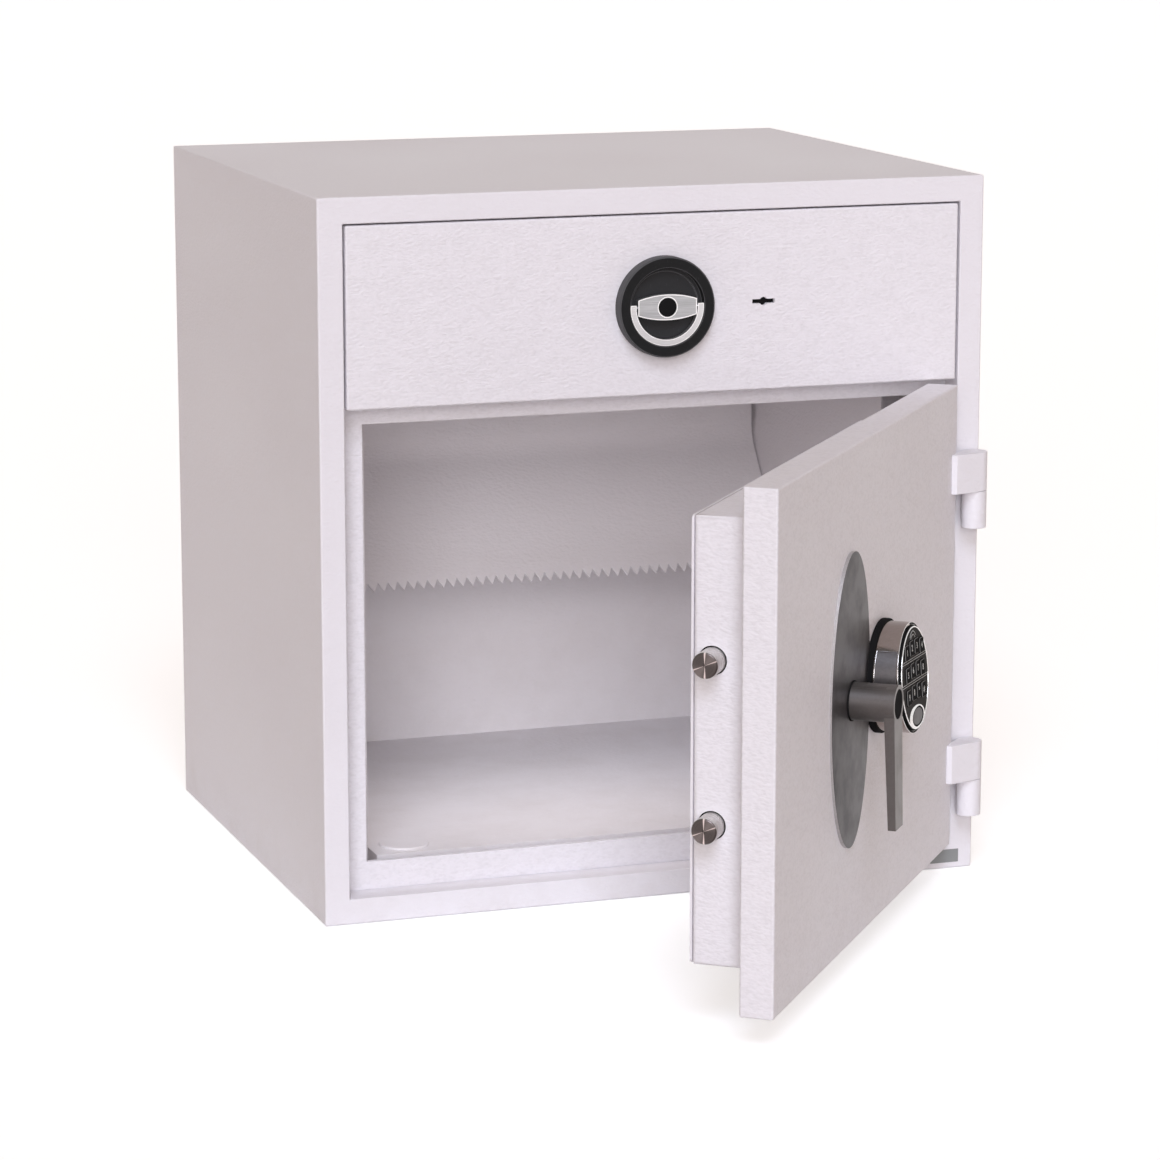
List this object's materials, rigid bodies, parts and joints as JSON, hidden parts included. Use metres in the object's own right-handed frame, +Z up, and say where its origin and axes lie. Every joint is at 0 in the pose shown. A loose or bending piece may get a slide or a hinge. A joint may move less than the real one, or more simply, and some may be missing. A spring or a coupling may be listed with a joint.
{
  "type": "drop safe with deposit drawer",
  "caption": "Free-standing drop safe with a deposit drawer over a hinged door, an electronic keypad, a lever handle, sliding bolts and a toothed anti-fishing baffle.",
  "frame": {"origin": "centre of the cabinet's base, on the surface that it stands on", "axes": "+Z up, the front with the drawer and door faces -Y, +X towards the hinged side"},
  "size_m": [0.601, 0.9478, 0.62],
  "materials": {
    "powder_coat": "fine textured off-white powder coat",
    "liner_coat": "fine textured off-white powder coat",
    "filling": "cast mineral filling",
    "zinc_steel": "zinc plated",
    "stainless": "turned stainless steel",
    "black_metal": "matte black",
    "satin_silver": "satin",
    "dark_metal": "dark grey satin",
    "pewter": "pewter grey satin",
    "black_plastic": "matte black",
    "chrome": "polished"
  },
  "bodies": {
    "cabinet": {"outer_shell": "powder_coat", "front_frame": "powder_coat", "inner_liner": "liner_coat", "barrier_fill": "filling", "anchor_sleeves": "liner_coat", "anti_fish_baffle": "liner_coat", "baffle_strip": "liner_coat", "hinge_knuckles": "powder_coat", "hinge_pins": "zinc_steel", "slide_outer_members": "zinc_steel", "drawer_keeper": "zinc_steel", "flap_brackets": "zinc_steel", "flap_rod": "zinc_steel"},
    "sweep_flap": {"sweep_flap": "liner_coat"},
    "slide_middles": {"slide_middle_members": "zinc_steel"},
    "drawer": {"slide_inner_members": "zinc_steel", "drawer_front": "powder_coat", "drawer_inner_pan": "liner_coat", "deposit_tray": "liner_coat", "handle_cup": "black_metal", "drawer_lock_case": "zinc_steel"},
    "drawer_lock_bolt": {"drawer_lock_bolt": "stainless"},
    "drawer_latch": {"latch_eye_bar": "satin_silver", "latch_spindle": "black_metal", "latch_cam": "zinc_steel"},
    "bail": {"bail_handle": "satin_silver"},
    "door": {"door_plate": "powder_coat", "door_fill": "filling", "door_plug_pan": "powder_coat", "door_back_cover": "powder_coat", "cover_screws": "zinc_steel", "hinge_blocks": "powder_coat", "hinge_side_dogs": "stainless", "bolt_bushes": "zinc_steel", "oval_escutcheon": "dark_metal", "lock_case": "zinc_steel", "keypad_base": "black_plastic", "keypad_body": "chrome", "keypad_face": "black_plastic", "keypad_badge": "chrome", "battery_cover": "dark_metal"},
    "door_handle": {"handle_hub": "pewter", "hub_cap": "black_plastic", "handle_lever": "pewter", "handle_spindle": "zinc_steel"},
    "bolt_work": {"bolt_bar": "zinc_steel", "locking_bolts": "stainless"},
    "lock_bolt": {"lock_bolt": "stainless"},
    "key_1": {"key_1": "black_plastic"},
    "key_2": {"key_2": "black_plastic"},
    "key_3": {"key_3": "black_plastic"},
    "key_4": {"key_4": "black_plastic"},
    "key_5": {"key_5": "black_plastic"},
    "key_6": {"key_6": "black_plastic"},
    "key_7": {"key_7": "black_plastic"},
    "key_8": {"key_8": "black_plastic"},
    "key_9": {"key_9": "black_plastic"},
    "key_0": {"key_0": "black_plastic"},
    "key_star": {"key_star": "black_plastic"},
    "key_hash": {"key_hash": "black_plastic"}
  },
  "joints": [
    {"name": "drawer_slide", "type": "slide", "parent": "cabinet", "child": "drawer", "axis": [0, -1, 0], "range_m": [0, 0.3]},
    {"name": "slide_middles_run", "type": "slide", "parent": "cabinet", "child": "slide_middles", "axis": [0, -1, 0], "range_m": [0, 0.15]},
    {"name": "sweep_flap_swing", "type": "hinge", "parent": "cabinet", "child": "sweep_flap", "pos_m": [0, -0.182, 0.581], "axis": [1, 0, 0], "range_deg": [0, 70]},
    {"name": "drawer_lock_slide", "type": "slide", "parent": "drawer", "child": "drawer_lock_bolt", "axis": [0, 0, 1], "range_m": [0, 0.012]},
    {"name": "latch_turn", "type": "hinge", "parent": "drawer", "child": "drawer_latch", "pos_m": [0.0032, -0.23, 0.5184], "axis": [0, 1, 0], "range_deg": [0, 90]},
    {"name": "bail_swing", "type": "hinge", "parent": "drawer_latch", "child": "bail", "pos_m": [0.0032, -0.2587, 0.5184], "axis": [-1, 0, 0], "range_deg": [0, 90]},
    {"name": "door_hinge", "type": "hinge", "parent": "cabinet", "child": "door", "pos_m": [0.29, -0.2628, 0.2329], "axis": [0, 0, 1], "range_deg": [-51.7, 128.3]},
    {"name": "handle_turn", "type": "hinge", "parent": "door", "child": "door_handle", "pos_m": [0.05776, -0.53621, 0.2329], "axis": [-0.7848, 0.6198, 0], "range_deg": [0, 90]},
    {"name": "bolt_slide", "type": "slide", "parent": "door", "child": "bolt_work", "axis": [0.6198, 0.7848, 0], "range_m": [0, 0.016]},
    {"name": "lock_bolt_slide", "type": "slide", "parent": "door", "child": "lock_bolt", "axis": [0.6198, 0.7848, 0], "range_m": [-0.016, 0]},
    {"name": "key_1_press", "type": "slide", "parent": "door", "child": "key_1", "axis": [-0.7821, 0.6177, -0.0819], "range_m": [0, 0.001], "stiffness_N_per_m": 400},
    {"name": "key_2_press", "type": "slide", "parent": "door", "child": "key_2", "axis": [-0.7821, 0.6177, -0.0819], "range_m": [0, 0.001], "stiffness_N_per_m": 400},
    {"name": "key_3_press", "type": "slide", "parent": "door", "child": "key_3", "axis": [-0.7821, 0.6177, -0.0819], "range_m": [0, 0.001], "stiffness_N_per_m": 400},
    {"name": "key_4_press", "type": "slide", "parent": "door", "child": "key_4", "axis": [-0.7821, 0.6177, -0.0819], "range_m": [0, 0.001], "stiffness_N_per_m": 400},
    {"name": "key_5_press", "type": "slide", "parent": "door", "child": "key_5", "axis": [-0.7821, 0.6177, -0.0819], "range_m": [0, 0.001], "stiffness_N_per_m": 400},
    {"name": "key_6_press", "type": "slide", "parent": "door", "child": "key_6", "axis": [-0.7821, 0.6177, -0.0819], "range_m": [0, 0.001], "stiffness_N_per_m": 400},
    {"name": "key_7_press", "type": "slide", "parent": "door", "child": "key_7", "axis": [-0.7821, 0.6177, -0.0819], "range_m": [0, 0.001], "stiffness_N_per_m": 400},
    {"name": "key_8_press", "type": "slide", "parent": "door", "child": "key_8", "axis": [-0.7821, 0.6177, -0.0819], "range_m": [0, 0.001], "stiffness_N_per_m": 400},
    {"name": "key_9_press", "type": "slide", "parent": "door", "child": "key_9", "axis": [-0.7821, 0.6177, -0.0819], "range_m": [0, 0.001], "stiffness_N_per_m": 400},
    {"name": "key_0_press", "type": "slide", "parent": "door", "child": "key_0", "axis": [-0.7821, 0.6177, -0.0819], "range_m": [0, 0.001], "stiffness_N_per_m": 400},
    {"name": "key_star_press", "type": "slide", "parent": "door", "child": "key_star", "axis": [-0.7821, 0.6177, -0.0819], "range_m": [0, 0.001], "stiffness_N_per_m": 400},
    {"name": "key_hash_press", "type": "slide", "parent": "door", "child": "key_hash", "axis": [-0.7821, 0.6177, -0.0819], "range_m": [0, 0.001], "stiffness_N_per_m": 400}
  ],
  "couplings": [
    {"joint": "slide_middles_run", "follows": "drawer_slide", "ratio": 0.5},
    {"joint": "bolt_slide", "follows": "handle_turn", "m_per_rad": 0.010186}
  ]
}
